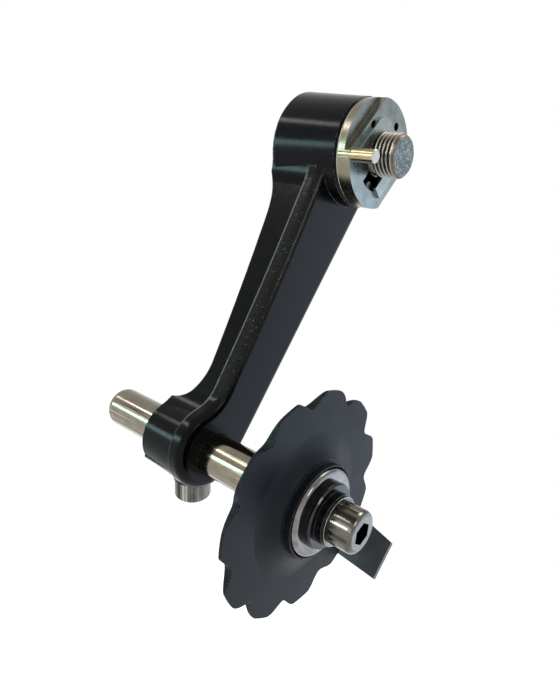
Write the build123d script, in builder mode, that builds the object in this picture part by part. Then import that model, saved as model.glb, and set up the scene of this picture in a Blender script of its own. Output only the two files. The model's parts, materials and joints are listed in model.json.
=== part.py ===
from build123d import *
import os
from math import cos, radians, sin

# Bicycle chain tensioner. Millimetres, +Z up. The origin is on the pivot axis, at the face of
# the retaining clip that bears on the frame's hanger. +Y points away from the wheel of the
# bicycle (outboard), the threaded end of the pivot bolt points to -Y (inboard), and the arm
# hangs down along -Z. "Inboard" and "outboard" below always mean -Y and +Y. Every level along
# Y is measured from the inboard face of the stop plate, one clip's thickness from the origin.

os.makedirs("parts", exist_ok=True)

# Main distances
reach = 77.4             # pivot axis to pulley axis
outboard_face = 21.8     # outboard end of both bosses
arm_face = 7.0           # flat inboard face of the arm

# Fits
running_gap = 0.05       # shafts and bushes that turn or slide
seat_gap = 0.02          # faces that stay together without rubbing
loose_gap = 0.15         # holes that a screw only passes through

# Pivot bolt, M10 x 1
bolt_thread_radius = 5.0
bolt_thread_length = 6.25
bolt_end_chamfer = 0.7
bolt_journal_radius = 5.0
bolt_groove_radius = 4.2
bolt_head_radius = 8.0
bolt_head_height = 3.0
bolt_head_chamfer = 0.5
bolt_socket_size = 6.0
bolt_socket_depth = 5.0

# Stop plate
plate_radius = 12.2
plate_thickness = 3.25
plate_rim_thickness = 1.75
plate_flat_angle = 167.0       # direction that the flat by the pin faces
plate_flat_distance = 8.8
plate_far_flat_distance = 10.0
spigot_radius = 9.4
spigot_height = 1.95
lug_inset = 1.6                # from the rim of the plate
lug_radius = plate_radius - lug_inset
lug_half_angle = 10.0
lug_angle = 100.0
window_outer_radius = 8.3
window_start_angle = -102.0
window_end_angle = -52.0
window_far_corner = (7.0, -1.9)
anchor_hole_radius = 0.95
anchor_holes = ((-6.8, 2.9), (1.2, 8.4))

# Stop pin
pin_x = -8.8
pin_z = -6.15
pin_radius = 1.5
pin_reach = 5.8
pin_chamfer = 0.25

# Retaining clip
clip_thickness = 0.9
clip_half_width = 7.4
clip_top = 6.3
clip_bottom = -6.3
clip_corner_radius = 4.3

# Top boss of the arm and what it holds
boss_mouth_overhang = 0.2
boss_taper = 0.8
boss_mouth_radius = plate_radius + boss_mouth_overhang
boss_rim_radius = boss_mouth_radius + boss_taper
boss_mouth_face = 3.65
boss_mouth_chamfer = 0.6
boss_rim_chamfer = 0.8
spigot_end_gap = 0.2
spring_room_radius = 9.0
spring_room_end = 14.0
bolt_seat = 18.0
head_washer_thickness = 0.6
head_washer_radius = 8.3
bush_radius = 6.2
bush_set_back = 0.1
sleeve_radius = 6.1
sleeve_end_gap = 0.2
spring_wire_radius = 0.95
spring_coil_radius = 7.3
spring_corner_radius = 1.0
spring_start = 6.35
spring_turns = 3.25
spring_pitch = 2.05
spring_leg_angle = -75.0
spring_hole_depth = 2.7
spring_leg_front = 0.6
spring_leg_back = 3.2
dust_washer_lug_gap = 0.3
dust_washer_set_back = 0.2
pivot_travel = 60.0

# Arm between the bosses
ridge_level = 10.9
web_inset = 0.6
arm_top_radius = 12.3
arm_low_radius = 9.3
arm_low_x = -1.0
arm_low_z = -reach + 0.7
waist_top_x = -8.9
waist_middle_x = -5.75
waist_low_x = -5.0
neck_radius = 8.0
web_neck_radius = 9.5
edge_radius = 2.0
web_top_z = -24.0        # the outboard face of the web is straight between these two heights
web_top_level = 18.1
web_low_z = -58.5
web_low_level = 15.3
swell_top_z = -11.5      # where it leaves the top boss and meets the bottom one
swell_low_z = -69.6
swell_top_rise = 1.5
swell_top_run = 4.3
swell_low_rise = 0.9
swell_low_run = 6.1
web_end_margin = 4.0

# Bottom boss, shaft and clamp screw
low_boss_rim_radius = 8.2
low_boss_mouth_radius = 8.6
shaft_radius = 4.75
shaft_outboard_end = 41.4
shaft_inboard_end = -11.4
shaft_end_radius = 2.2
shaft_tap_chamfer = 0.4
shaft_tap_depth = 15.0
clamp_angle = -54.5
clamp_level = 14.2
clamp_head_seat = 8.7
clamp_pad_margin = 0.2

# M5 cap head screws
m5_radius = 2.5
m5_head_radius = 4.25
m5_head_height = 5.0
m5_socket_size = 4.0
m5_socket_depth = 2.6
m5_head_rounding = 1.0

# Guard plate
guard_thickness = 1.2
guard_hub_radius = 7.5
guard_tab_distance = 28.3
guard_tab_end = -26.8
guard_bend_radius = 1.2
guard_angle = -10.7
guard_trim_width = 9.0
tab_low_end = -4.85
tab_high_end = 3.98
tab_low_outboard = -3.44
tab_high_outboard = 7.75

# Pulley wheel
teeth = 11
rim_inboard = -19.2
rim_thickness = 1.9
wheel_tip_radius = 23.1
wheel_valley_radius = 20.6
wheel_first_valley = 27.5
tooth_land_half_angle = 5.6
tooth_flank_turn = 12.0
tooth_thinning_radius = 20.5
tooth_tip_thickness = 0.6
wheel_flat_inner_radius = 15.0
wheel_hub_radius = 10.1
dish_sag = 0.3
hub_lip_radius = 9.5
hub_inboard = -22.7
hub_inboard_floor = -21.1
hub_outboard = -14.0
hub_outboard_floor = -14.9
cover_gap = 0.25

# Pulley bearing, 16 x 5 x 5
bearing_centre = -18.0
bearing_outer_radius = 8.0
bearing_width = 5.0
bearing_outer_race_inner_radius = 6.8
bearing_inner_race_outer_radius = 4.2
bearing_bore_radius = 2.55
ball_count = 8
ball_radius = 1.3
shield_thickness = 0.3
cage_wall = 1.0
cage_half_width = 1.7
ball_track_depth = 0.5
ball_track_gap = 0.02

# Washers beside the bearing
cover_radius = 8.9
cover_stand_off = 1.0
cover_thickness = 1.9
cover_middle_radius = 4.1
cover_edge_radius = 0.9
spacer_radius = 6.7
spacer_collar_height = 1.5
spacer_step_radius = 5.2
spacer_height = 3.0
spacer_chamfer = 0.3
bolt_washer_radius = 4.9
bolt_washer_thickness = 0.5
pulley_bolt_length = 28.0


def inboard_plane(level):
    """A drawing plane that faces inboard: its x is +X and its y is +Z."""
    return Plane.XZ.offset(-clip_thickness - level)


def pulley_plane(level):
    """The same, centred on the pulley axis."""
    return Plane(origin=(0, clip_thickness + level, -reach), x_dir=(1, 0, 0), z_dir=(0, -1, 0))


clamp_plane = Plane(
    origin=(0, clip_thickness + clamp_level, -reach),
    x_dir=(0, 1, 0),
    z_dir=(cos(radians(clamp_angle)), 0, sin(radians(clamp_angle))),
)
mouth_depth = plate_thickness + spigot_height + spigot_end_gap
pivot_profile = Plane(origin=(0, clip_thickness, 0), x_dir=(1, 0, 0), z_dir=(0, 0, 1))
pulley_profile = Plane(origin=(0, clip_thickness, -reach), x_dir=(1, 0, 0), z_dir=(0, 0, 1))
pivot_axis = Axis.Y
pulley_axis = Axis((0, 0, -reach), (0, 1, 0))


def on_circle(radius, angle):
    """A point at a distance and an angle in degrees."""
    return (radius * cos(radians(angle)), radius * sin(radians(angle)))


def guard_corner(out, level):
    """A point on the guard's middle line from its distance out and its level along Y."""
    return (
        out * cos(radians(guard_angle)),
        clip_thickness + level,
        out * sin(radians(guard_angle)) - reach,
    )


def ring(inner, outer, start, end, on_pulley=False, edge=0.0):
    """A plain turned ring from one level along Y to another, with its outer edges broken."""
    with BuildPart() as turned:
        with BuildSketch(pulley_plane(end) if on_pulley else inboard_plane(end)):
            Circle(outer)
            if inner:
                Circle(inner, mode=Mode.SUBTRACT)
        extrude(amount=end - start)
        if edge:
            rims = turned.edges().filter_by(GeomType.CIRCLE).filter_by(lambda e: abs(e.radius - outer) < 0.001)
            chamfer(rims, edge)
    return turned


# Pivot bolt
head_start = bolt_seat + head_washer_thickness + seat_gap
head_end = head_start + bolt_head_height
with BuildPart() as pivot_bolt:
    with BuildSketch(pivot_profile):
        with BuildLine():
            Polyline(
                (0, -bolt_thread_length),
                (bolt_thread_radius - bolt_end_chamfer, -bolt_thread_length),
                (bolt_thread_radius, -bolt_thread_length + bolt_end_chamfer),
                (bolt_thread_radius, -clip_thickness - seat_gap),
                (bolt_groove_radius, -clip_thickness - seat_gap),
                (bolt_groove_radius, seat_gap),
                (bolt_journal_radius, seat_gap),
                (bolt_journal_radius, head_start),
                (bolt_head_radius, head_start),
                (bolt_head_radius, head_end - bolt_head_chamfer),
                (bolt_head_radius - bolt_head_chamfer, head_end),
                (0, head_end),
                close=True,
            )
        make_face()
    revolve(axis=pivot_axis)
    with BuildSketch(inboard_plane(head_end)):
        RegularPolygon(bolt_socket_size / 2, 6, major_radius=False)
    extrude(amount=bolt_socket_depth, mode=Mode.SUBTRACT)
pivot_bolt.part.label = "pivot_bolt"
export_step(pivot_bolt.part, "parts/pivot_bolt.step")


# Stop plate: a disc whose inboard step has a flat by the pin, with a flat right through
# on the far side, a window over the spring and a spigot that centres the arm
with BuildPart() as stop_plate:
    with BuildSketch(inboard_plane(plate_thickness)):
        Circle(plate_radius)
    extrude(amount=plate_thickness)
    with BuildSketch(inboard_plane(plate_thickness + spigot_height)):
        Circle(spigot_radius)
    extrude(amount=spigot_height)
    with BuildSketch(inboard_plane(plate_thickness + spigot_height)):
        with BuildLine():
            lug_from = lug_angle - lug_half_angle
            lug_to = lug_angle + lug_half_angle
            Line(on_circle(spigot_radius - 1, lug_from), on_circle(lug_radius, lug_from))
            ThreePointArc(
                on_circle(lug_radius, lug_from),
                on_circle(lug_radius, lug_angle),
                on_circle(lug_radius, lug_to),
            )
            Line(on_circle(lug_radius, lug_to), on_circle(spigot_radius - 1, lug_to))
            Line(on_circle(spigot_radius - 1, lug_to), on_circle(spigot_radius - 1, lug_from))
        make_face()
    extrude(amount=spigot_height)
    with BuildSketch(inboard_plane(plate_thickness - plate_rim_thickness)):
        with Locations(on_circle(plate_flat_distance + plate_radius, plate_flat_angle)):
            Rectangle(2 * plate_radius, 3 * plate_radius, rotation=plate_flat_angle)
    extrude(amount=plate_thickness, mode=Mode.SUBTRACT)
    with BuildSketch(inboard_plane(plate_thickness)):
        with Locations(on_circle(-plate_far_flat_distance - plate_radius, plate_flat_angle)):
            Rectangle(2 * plate_radius, 3 * plate_radius, rotation=plate_flat_angle)
    extrude(amount=2 * plate_thickness, mode=Mode.SUBTRACT)
    with BuildSketch(inboard_plane(plate_thickness + spigot_height)):
        Circle(bolt_journal_radius + loose_gap)
        with Locations((pin_x, pin_z)):
            Circle(pin_radius)
        with Locations(*anchor_holes):
            Circle(anchor_hole_radius)
    extrude(amount=plate_thickness + spigot_height, mode=Mode.SUBTRACT)
    with BuildSketch(inboard_plane(plate_thickness + spigot_height)):
        with BuildLine():
            window_middle_angle = (window_start_angle + window_end_angle) / 2
            Line((0, 0), on_circle(window_outer_radius, window_start_angle))
            ThreePointArc(
                on_circle(window_outer_radius, window_start_angle),
                on_circle(window_outer_radius, window_middle_angle),
                on_circle(window_outer_radius, window_end_angle),
            )
            Polyline(on_circle(window_outer_radius, window_end_angle), window_far_corner, (0, 0))
        make_face()
    extrude(amount=plate_thickness + spigot_height, mode=Mode.SUBTRACT)
stop_plate.part.label = "stop_plate"
export_step(stop_plate.part, "parts/stop_plate.step")


# Stop pin, pressed into the plate and proud of it on the inboard side
with BuildPart() as stop_pin:
    with BuildSketch(inboard_plane(plate_thickness - seat_gap)):
        with Locations((pin_x, pin_z)):
            Circle(pin_radius)
    extrude(amount=plate_thickness - seat_gap + pin_reach)
    chamfer(stop_pin.faces().sort_by(Axis.Y)[0].edges(), pin_chamfer)
stop_pin.part.label = "stop_pin"
export_step(stop_pin.part, "parts/stop_pin.step")


# Retaining clip: a flat fork that drops into the groove of the bolt, open towards the window
clip_turn = radians(plate_flat_angle - 180)
clip_plane = Plane(
    origin=(0, clip_thickness, 0),
    x_dir=(cos(clip_turn), 0, sin(clip_turn)),
    z_dir=(0, -1, 0),
)
clip_slot = 2 * (bolt_groove_radius + seat_gap)
with BuildPart() as retaining_clip:
    with BuildSketch(clip_plane) as fork:
        with Locations((0, (clip_top + clip_bottom) / 2)):
            Rectangle(2 * clip_half_width, clip_top - clip_bottom)
        fillet(fork.vertices().group_by(Axis.Y)[-1], clip_corner_radius)
        Circle(clip_slot / 2, mode=Mode.SUBTRACT)
        with Locations((0, clip_bottom / 2)):
            Rectangle(clip_slot, -clip_bottom, mode=Mode.SUBTRACT)
    extrude(amount=clip_thickness)
retaining_clip.part.label = "retaining_clip"
export_step(retaining_clip.part, "parts/retaining_clip.step")


# Torsion spring: a round wire coil with one leg in the window of the plate and the other
# in a blind hole in the arm
spring_end = spring_start + spring_turns * spring_pitch
spring_end_angle = spring_leg_angle - 360 * spring_turns
spring_stretches = round(4 * spring_turns)
stretch_turn = 360 * spring_turns / spring_stretches
stretch_length = spring_turns * spring_pitch / spring_stretches
with BuildLine() as first_stretch:
    Helix(
        spring_pitch,
        stretch_length,
        spring_coil_radius,
        center=(0, clip_thickness + spring_start, 0),
        direction=(0, 1, 0),
    )
quarter = first_stretch.line.edges()[0].rotate(Axis.Y, 90 - spring_leg_angle)
coil = Wire(
    [
        quarter.rotate(Axis.Y, stretch_turn * step).moved(Location((0, stretch_length * step, 0)))
        for step in range(spring_stretches)
    ]
)
with BuildPart() as torsion_spring:
    with BuildSketch(Plane(origin=coil @ 0, x_dir=(0, 1, 0), z_dir=coil % 0)):
        Circle(spring_wire_radius)
    sweep(path=coil, is_frenet=True)
    with Locations(coil @ 0, coil @ 1):
        Sphere(spring_corner_radius)
    with BuildSketch(inboard_plane(spring_start)):
        with Locations(on_circle(spring_coil_radius, spring_leg_angle)):
            Circle(spring_wire_radius)
    extrude(amount=spring_start - spring_leg_front)
    with BuildSketch(inboard_plane(spring_end + spring_leg_back)):
        with Locations(on_circle(spring_coil_radius, spring_end_angle)):
            Circle(spring_wire_radius)
    extrude(amount=spring_leg_back)
torsion_spring.part.label = "torsion_spring"
export_step(torsion_spring.part, "parts/torsion_spring.step")


# Arm: one forging with an open boss at the top for the spring and a clamp boss below.
# Its inboard half is a flat flange, and its outboard half is a narrower web that thins
# towards the shaft and swells into both bosses.
def arm_blank(inset, top_round, low_round, low_place, neck, inboard_level, outboard_level):
    """The outline of the arm between two levels: two round ends, a straight right side that
    touches both and a hollow left side that runs into them through two necks."""
    waist_top = (waist_top_x + inset, -1)
    waist_middle = (waist_middle_x + inset, -reach / 2)
    waist_low = (waist_low_x + inset, arm_low_z + 1)
    with BuildPart() as blank:
        with BuildSketch(inboard_plane(outboard_level)) as outline:
            Circle(arm_top_radius - inset)
            with Locations((arm_low_x, arm_low_z)):
                Circle(arm_low_radius - inset)
            make_hull()
            with BuildLine():
                Line((waist_top[0], 0), waist_top)
                ThreePointArc(waist_top, waist_middle, waist_low)
                Polyline(
                    waist_low,
                    (waist_low[0], -reach - 2 * arm_low_radius),
                    (-2 * arm_top_radius, -reach - 2 * arm_low_radius),
                    (-2 * arm_top_radius, 0),
                    (waist_top[0], 0),
                )
            make_face(mode=Mode.SUBTRACT)
            Circle(top_round)
            with Locations(low_place):
                Circle(low_round)
            hollow_corners = outline.vertices().filter_by(
                lambda v: v.X < 0 and low_place[1] + 2 < v.Y < -2
            )
            fillet(hollow_corners, neck)
        extrude(amount=outboard_level - inboard_level)
    return blank


web_profile = Plane(
    origin=(-boss_rim_radius, clip_thickness, 0),
    x_dir=(0, 1, 0),
    z_dir=(1, 0, 0),
)
with BuildPart() as web_side:
    # side view of the web: its outboard face between the two bosses
    with BuildSketch(web_profile):
        with BuildLine():
            Polyline(
                (arm_face, web_end_margin),
                (outboard_face, web_end_margin),
                (outboard_face, swell_top_z),
            )
            Spline(
                (outboard_face, swell_top_z),
                (web_top_level + swell_top_rise, swell_top_z - swell_top_run),
                (web_top_level, web_top_z),
                tangents=[(-0.5, -1), (-0.08, -1)],
            )
            Line((web_top_level, web_top_z), (web_low_level, web_low_z))
            Spline(
                (web_low_level, web_low_z),
                (web_low_level + swell_low_rise, web_low_z - swell_low_run),
                (outboard_face, swell_low_z),
                tangents=[(-0.08, -1), (1, -0.2)],
            )
            Polyline(
                (outboard_face, swell_low_z),
                (outboard_face, -reach - 2 * arm_low_radius),
                (arm_face, -reach - 2 * arm_low_radius),
                (arm_face, web_end_margin),
            )
        make_face()
    extrude(amount=2 * boss_rim_radius)

with BuildPart() as web:
    add(
        arm_blank(
            web_inset,
            boss_rim_radius - web_inset,
            low_boss_rim_radius,
            (0, -reach),
            web_neck_radius,
            ridge_level,
            outboard_face,
        ).part
    )
    add(web_side.part, mode=Mode.INTERSECT)

with BuildPart() as flange:
    add(
        arm_blank(
            0,
            arm_top_radius,
            arm_low_radius,
            (arm_low_x, arm_low_z),
            neck_radius,
            arm_face,
            ridge_level,
        ).part
    )
    fillet(flange.faces().sort_by(Axis.Y)[0].outer_wire().edges(), edge_radius)

with BuildPart() as arm:
    add(flange.part)
    add(web.part)
    # top boss, tapering towards its mouth, and bottom boss, tapering the other way
    with BuildSketch(pivot_profile):
        with BuildLine():
            Polyline(
                (0, boss_mouth_face),
                (boss_mouth_radius - boss_mouth_chamfer, boss_mouth_face),
                (boss_mouth_radius, boss_mouth_face + boss_mouth_chamfer),
                (boss_rim_radius, outboard_face - boss_rim_chamfer),
                (boss_rim_radius - boss_rim_chamfer, outboard_face),
                (0, outboard_face),
                close=True,
            )
        make_face()
    revolve(axis=pivot_axis)
    with BuildSketch(pulley_profile):
        with BuildLine():
            Polyline(
                (0, ridge_level - 1),
                (low_boss_mouth_radius, ridge_level - 1),
                (low_boss_rim_radius, outboard_face - boss_rim_chamfer),
                (low_boss_rim_radius - boss_rim_chamfer, outboard_face),
                (0, outboard_face),
                close=True,
            )
        make_face()
    revolve(axis=pulley_axis)
    # pad under the head of the clamp screw
    with BuildSketch(clamp_plane):
        Circle(m5_head_radius + clamp_pad_margin)
    extrude(amount=clamp_head_seat)
    # spring room, mouth for the spigot with a pocket for its lug, wall bore and bolt seat
    with BuildSketch(pivot_profile):
        with BuildLine():
            Polyline(
                (0, boss_mouth_face - 1),
                (spigot_radius + running_gap, boss_mouth_face - 1),
                (spigot_radius + running_gap, mouth_depth),
                (spring_room_radius, mouth_depth),
                (spring_room_radius, spring_room_end),
                (bush_radius, spring_room_end),
                (bush_radius, bolt_seat),
                (head_washer_radius + loose_gap, bolt_seat),
                (head_washer_radius + loose_gap, outboard_face + 1),
                (0, outboard_face + 1),
                close=True,
            )
        make_face()
    revolve(axis=pivot_axis, mode=Mode.SUBTRACT)
    with BuildSketch(inboard_plane(mouth_depth)):
        with BuildLine():
            pocket_radius = lug_radius + loose_gap
            pocket_from = lug_angle - lug_half_angle - 1
            pocket_to = lug_angle + lug_half_angle + pivot_travel + 1
            pocket_middle = (pocket_from + pocket_to) / 2
            Line((0, 0), on_circle(pocket_radius, pocket_from))
            ThreePointArc(
                on_circle(pocket_radius, pocket_from),
                on_circle(pocket_radius, pocket_middle),
                on_circle(pocket_radius, pocket_to),
            )
            Line(on_circle(pocket_radius, pocket_to), (0, 0))
        make_face()
    extrude(amount=mouth_depth - boss_mouth_face + 1, mode=Mode.SUBTRACT)
    # blind hole for the outboard leg of the spring
    with BuildSketch(inboard_plane(spring_room_end + spring_hole_depth)):
        with Locations(on_circle(spring_coil_radius, spring_end_angle)):
            Circle(spring_wire_radius + running_gap)
    extrude(amount=spring_hole_depth + 1, mode=Mode.SUBTRACT)
    # shaft bore and clamp screw hole
    with BuildSketch(pulley_plane(outboard_face + 1)):
        Circle(shaft_radius + running_gap)
    extrude(amount=outboard_face - arm_face + 2, mode=Mode.SUBTRACT)
    with BuildSketch(clamp_plane):
        Circle(m5_radius + running_gap)
    extrude(amount=clamp_head_seat + m5_head_height, mode=Mode.SUBTRACT)
arm.part.label = "arm"
export_step(arm.part, "parts/arm.step")


# Bush pressed into the wall of the boss, sleeve inside the coil, and plain washers of the pivot
pivot_bush = ring(bolt_journal_radius + running_gap, bush_radius, spring_room_end, bolt_seat - bush_set_back)
pivot_bush.part.label = "pivot_bush"
export_step(pivot_bush.part, "parts/pivot_bush.step")

spring_sleeve = ring(
    bolt_journal_radius + seat_gap,
    sleeve_radius,
    plate_thickness + spigot_height + seat_gap,
    spring_room_end - sleeve_end_gap,
)
spring_sleeve.part.label = "spring_sleeve"
export_step(spring_sleeve.part, "parts/spring_sleeve.step")

bolt_head_washer = ring(
    bolt_journal_radius + seat_gap,
    head_washer_radius,
    bolt_seat + seat_gap,
    bolt_seat + head_washer_thickness,
)
bolt_head_washer.part.label = "bolt_head_washer"
export_step(bolt_head_washer.part, "parts/bolt_head_washer.step")

dust_washer = ring(
    lug_radius + dust_washer_lug_gap,
    plate_radius - dust_washer_set_back,
    plate_thickness,
    boss_mouth_face - seat_gap,
)
dust_washer.part.label = "dust_washer"
export_step(dust_washer.part, "parts/dust_washer.step")


# Sliding shaft: its outboard end is rounded and its inboard end is tapped for the pulley bolt
with BuildPart() as slide_shaft:
    with BuildSketch(pulley_plane(shaft_outboard_end)):
        Circle(shaft_radius)
    extrude(amount=shaft_outboard_end - shaft_inboard_end)
    end_edges = slide_shaft.edges().filter_by(GeomType.CIRCLE).sort_by(Axis.Y)
    fillet(end_edges[-1], shaft_end_radius)
    chamfer(end_edges[0], shaft_tap_chamfer)
    with BuildSketch(pulley_plane(shaft_inboard_end + shaft_tap_depth)):
        Circle(m5_radius + running_gap)
    extrude(amount=shaft_tap_depth, mode=Mode.SUBTRACT)
slide_shaft.part.label = "slide_shaft"
export_step(slide_shaft.part, "parts/slide_shaft.step")


def cap_screw(seat_plane, shank_length):
    """An M5 cap head screw: the head stands on the plane and the shank goes below it."""
    with BuildPart() as screw:
        with BuildSketch(seat_plane):
            Circle(m5_head_radius)
        extrude(amount=m5_head_height)
        top = screw.edges().filter_by(GeomType.CIRCLE).sort_by(lambda e: -seat_distance(e, seat_plane))
        fillet(top[0], m5_head_rounding)
        with BuildSketch(seat_plane):
            Circle(m5_radius)
        extrude(amount=-shank_length)
        with BuildSketch(seat_plane.offset(m5_head_height)):
            RegularPolygon(m5_socket_size / 2, 6, major_radius=False)
        extrude(amount=-m5_socket_depth, mode=Mode.SUBTRACT)
    return screw


def seat_distance(edge, seat_plane):
    """Height of the middle of an edge above a plane."""
    return seat_plane.to_local_coords(edge.arc_center).Z


# Clamp screw: a cap head screw through the wall of the bottom boss that presses on the shaft
clamp_screw = cap_screw(
    clamp_plane.offset(clamp_head_seat + seat_gap),
    clamp_head_seat - shaft_radius - running_gap,
)
clamp_screw.part.label = "clamp_screw"
export_step(clamp_screw.part, "parts/clamp_screw.step")


# Guard plate: one strip folded from a round hub, with a tapering tab that runs beside the teeth
guard_front = shaft_inboard_end - guard_thickness
guard_out = Vector(cos(radians(guard_angle)), 0, sin(radians(guard_angle)))
guard_up = Vector(-sin(radians(guard_angle)), 0, cos(radians(guard_angle)))
guard_side = Plane(origin=guard_corner(0, 0), x_dir=guard_out, z_dir=-guard_up)
guard_flat = Plane(origin=guard_corner(0, shaft_inboard_end), x_dir=guard_out, z_dir=(0, -1, 0))
guard_end_on = Plane(origin=guard_corner(0, 0), x_dir=(0, 1, 0), z_dir=guard_out)
tab_outside = guard_tab_distance + guard_thickness
with BuildPart() as guard_plate:
    with BuildSketch(guard_side.offset(-guard_trim_width)):
        with BuildLine():
            folded = Polyline(
                (-guard_hub_radius, -shaft_inboard_end),
                (tab_outside, -shaft_inboard_end),
                (tab_outside, -guard_tab_end),
                (guard_tab_distance, -guard_tab_end),
                (guard_tab_distance, -guard_front),
                (-guard_hub_radius, -guard_front),
                close=True,
            )
        make_face()
    extrude(amount=2 * guard_trim_width)
    bend_edges = guard_plate.edges().filter_by(lambda e: abs(abs(e.tangent_at(0.5).dot(guard_up)) - 1) < 0.001)
    inner_bend = bend_edges.sort_by_distance(guard_corner(guard_tab_distance, guard_front))[0]
    fillet(inner_bend, guard_bend_radius)
    bend_edges = guard_plate.edges().filter_by(lambda e: abs(abs(e.tangent_at(0.5).dot(guard_up)) - 1) < 0.001)
    outer_bend = bend_edges.sort_by_distance(guard_corner(tab_outside, shaft_inboard_end))[0]
    fillet(outer_bend, guard_bend_radius + guard_thickness)
    with BuildSketch(guard_flat):
        Circle(guard_hub_radius)
        with BuildLine():
            Polyline(
                (0, -guard_hub_radius),
                (guard_tab_distance, tab_low_outboard),
                (guard_tab_distance, -guard_trim_width),
                (tab_outside, -guard_trim_width),
                (tab_outside, guard_trim_width),
                (guard_tab_distance, guard_trim_width),
                (guard_tab_distance, tab_high_outboard),
                (0, guard_hub_radius),
                close=True,
            )
        make_face()
    extrude(amount=shaft_inboard_end - guard_tab_end, mode=Mode.INTERSECT)
    with BuildSketch(guard_end_on.offset(guard_tab_distance - 2 * guard_bend_radius)):
        with BuildLine():
            Polyline(
                (shaft_inboard_end, tab_high_outboard),
                (guard_tab_end, tab_high_end),
                (guard_tab_end, guard_trim_width),
                (shaft_inboard_end, guard_trim_width),
                close=True,
            )
        make_face()
        with BuildLine():
            Polyline(
                (shaft_inboard_end, tab_low_outboard),
                (guard_tab_end, tab_low_end),
                (guard_tab_end, -guard_trim_width),
                (shaft_inboard_end, -guard_trim_width),
                close=True,
            )
        make_face()
    extrude(amount=2 * guard_trim_width, mode=Mode.SUBTRACT)
    with BuildSketch(guard_flat):
        Circle(m5_radius + running_gap)
    extrude(amount=guard_thickness, mode=Mode.SUBTRACT)
guard_plate.part.label = "guard_plate"
export_step(guard_plate.part, "parts/guard_plate.step")


# Pulley wheel: a thin toothed rim with low rounded teeth, dished towards a thicker hub
tooth_step = 360 / teeth
rim_outboard = rim_inboard + rim_thickness
dish_middle = (wheel_flat_inner_radius + wheel_hub_radius) / 2
with BuildPart() as pulley_wheel:
    with BuildSketch(pulley_plane(rim_outboard)):
        with BuildLine():
            for tooth in range(teeth):
                valley = wheel_first_valley + tooth * tooth_step
                tip = valley + tooth_step / 2
                flank_end = tip - tooth_land_half_angle
                flank_start = flank_end + 2 * tooth_land_half_angle - tooth_step
                ThreePointArc(
                    on_circle(wheel_tip_radius, flank_end),
                    on_circle(wheel_tip_radius, tip),
                    on_circle(wheel_tip_radius, tip + tooth_land_half_angle),
                )
                Spline(
                    on_circle(wheel_tip_radius, flank_start),
                    on_circle(wheel_valley_radius, valley),
                    on_circle(wheel_tip_radius, flank_end),
                    tangents=[
                        on_circle(1, flank_start + 90 + tooth_flank_turn),
                        on_circle(1, flank_end + 90 - tooth_flank_turn),
                    ],
                )
        make_face()
    extrude(amount=rim_thickness)
    # the teeth thin towards their tips on the outboard side
    with BuildSketch(pulley_profile):
        Polygon(
            (tooth_thinning_radius, rim_outboard),
            (wheel_tip_radius, rim_inboard + tooth_tip_thickness),
            (wheel_tip_radius + rim_thickness, rim_inboard + tooth_tip_thickness),
            (wheel_tip_radius + rim_thickness, rim_outboard + rim_thickness),
            (tooth_thinning_radius, rim_outboard + rim_thickness),
            align=None,
        )
    revolve(axis=pulley_axis, mode=Mode.SUBTRACT)
    with BuildSketch(pulley_profile):
        with BuildLine():
            inboard_drop = hub_inboard_floor - rim_inboard
            outboard_rise = hub_outboard_floor - rim_outboard
            Line((wheel_flat_inner_radius, rim_inboard), (wheel_flat_inner_radius, rim_outboard))
            ThreePointArc(
                (wheel_flat_inner_radius, rim_outboard),
                (dish_middle, rim_outboard + dish_sag * outboard_rise),
                (wheel_hub_radius, hub_outboard_floor),
            )
            Polyline(
                (wheel_hub_radius, hub_outboard_floor),
                (hub_lip_radius, hub_outboard_floor),
                (hub_lip_radius, hub_outboard),
                (0, hub_outboard),
                (0, hub_inboard),
                (hub_lip_radius, hub_inboard),
                (hub_lip_radius, hub_inboard_floor),
                (wheel_hub_radius, hub_inboard_floor),
            )
            ThreePointArc(
                (wheel_hub_radius, hub_inboard_floor),
                (dish_middle, rim_inboard + dish_sag * inboard_drop),
                (wheel_flat_inner_radius, rim_inboard),
            )
        make_face()
    revolve(axis=pulley_axis)
    with BuildSketch(pulley_plane(hub_outboard)):
        Circle(bearing_outer_radius)
    extrude(amount=hub_outboard - hub_inboard, mode=Mode.SUBTRACT)
    with BuildSketch(pulley_plane(hub_outboard)):
        Circle(cover_radius + cover_gap)
    extrude(amount=hub_outboard - hub_outboard_floor, mode=Mode.SUBTRACT)
    with BuildSketch(pulley_plane(hub_inboard_floor)):
        Circle(cover_radius + cover_gap)
    extrude(amount=hub_inboard_floor - hub_inboard, mode=Mode.SUBTRACT)
pulley_wheel.part.label = "pulley_wheel"
export_step(pulley_wheel.part, "parts/pulley_wheel.step")


# Pulley bearing
race_start = bearing_centre - bearing_width / 2
race_end = bearing_centre + bearing_width / 2
ball_circle = (bearing_outer_race_inner_radius + bearing_inner_race_outer_radius) / 2


def bearing_race(inner, outer):
    """A race with the track of the balls turned in it."""
    with BuildPart() as race:
        with BuildSketch(pulley_plane(race_end)):
            Circle(outer)
            Circle(inner, mode=Mode.SUBTRACT)
        extrude(amount=bearing_width)
        with BuildSketch(pulley_profile):
            with Locations((ball_circle, bearing_centre)):
                Circle(ball_radius + ball_track_gap)
        revolve(axis=pulley_axis, mode=Mode.SUBTRACT)
    return race


bearing_outer_race = bearing_race(bearing_outer_race_inner_radius - ball_track_depth, bearing_outer_radius)
bearing_outer_race.part.label = "bearing_outer_race"
export_step(bearing_outer_race.part, "parts/bearing_outer_race.step")

bearing_inner_race = bearing_race(bearing_bore_radius, bearing_inner_race_outer_radius + ball_track_depth)
bearing_inner_race.part.label = "bearing_inner_race"
export_step(bearing_inner_race.part, "parts/bearing_inner_race.step")

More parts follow.
